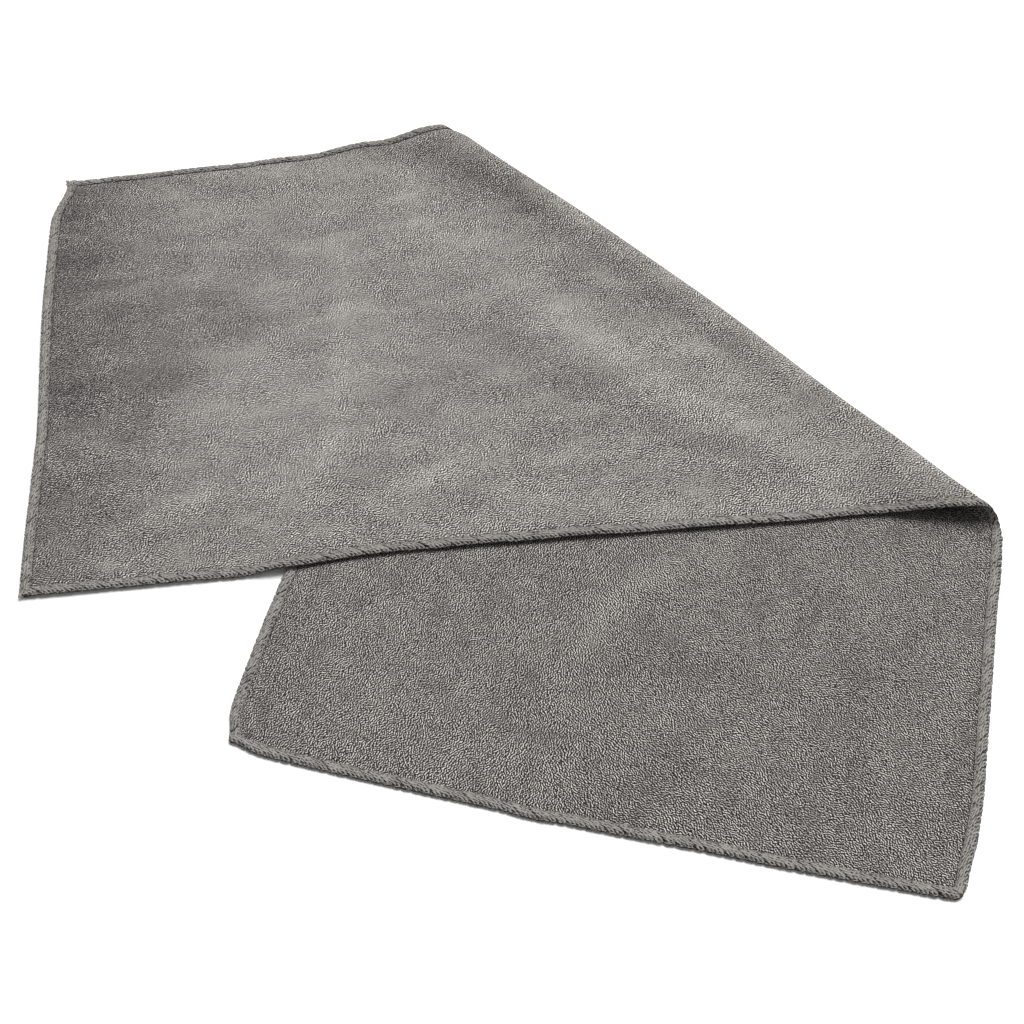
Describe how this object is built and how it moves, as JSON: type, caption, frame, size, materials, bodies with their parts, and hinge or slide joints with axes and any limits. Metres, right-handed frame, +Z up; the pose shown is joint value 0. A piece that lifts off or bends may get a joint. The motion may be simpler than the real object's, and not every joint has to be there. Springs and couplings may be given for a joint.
{
  "type": "towel",
  "caption": "Rectangular brushed microfibre quick dry towel with overlocked edges, lying folded once diagonally across a corner.",
  "frame": {"origin": "bottom centre of the box of the towel as it lies folded", "axes": "+X along the lower half's front edge, +Y along the towel's long edges away from that edge, +Z up from the table"},
  "size_m": [0.5034, 0.4216, 0.0126],
  "materials": {
    "cloth": "matte brushed pile, warm grey",
    "hem_thread": "matte textured polyester thread, warm grey"
  },
  "bodies": {
    "lower_half": {"cloth_lower": "cloth", "lower_looper_left_lower": "hem_thread", "upper_looper_left_lower": "hem_thread", "needle_thread_left_lower": "hem_thread", "lower_looper_front": "hem_thread", "upper_looper_front": "hem_thread", "needle_thread_front": "hem_thread", "lower_looper_right_lower": "hem_thread", "upper_looper_right_lower": "hem_thread", "needle_thread_right_lower": "hem_thread", "chain_tail_front_left": "hem_thread", "chain_tail_front_right": "hem_thread", "cloth_fold": "cloth", "lower_looper_left_fold": "hem_thread", "upper_looper_left_fold": "hem_thread", "needle_thread_left_fold": "hem_thread", "lower_looper_right_fold": "hem_thread", "upper_looper_right_fold": "hem_thread", "needle_thread_right_fold": "hem_thread"},
    "flap": {"cloth_flap": "cloth", "upper_looper_left_flap": "hem_thread", "lower_looper_left_flap": "hem_thread", "needle_thread_left_flap": "hem_thread", "upper_looper_end": "hem_thread", "lower_looper_end": "hem_thread", "needle_thread_end": "hem_thread", "upper_looper_right_flap": "hem_thread", "lower_looper_right_flap": "hem_thread", "needle_thread_right_flap": "hem_thread", "chain_tail_end_left": "hem_thread", "chain_tail_end_right": "hem_thread"}
  },
  "joints": [
    {"name": "flap_unfold", "type": "hinge", "parent": "lower_half", "child": "flap", "pos_m": [0.10444, 0.09772, 0.0063], "axis": [-0.8077, 0.5896, 0], "range_deg": [0, 181.5], "deforming": ["cloth_fold", "lower_looper_left_fold", "upper_looper_left_fold", "needle_thread_left_fold", "lower_looper_right_fold", "upper_looper_right_fold", "needle_thread_right_fold"]}
  ]
}
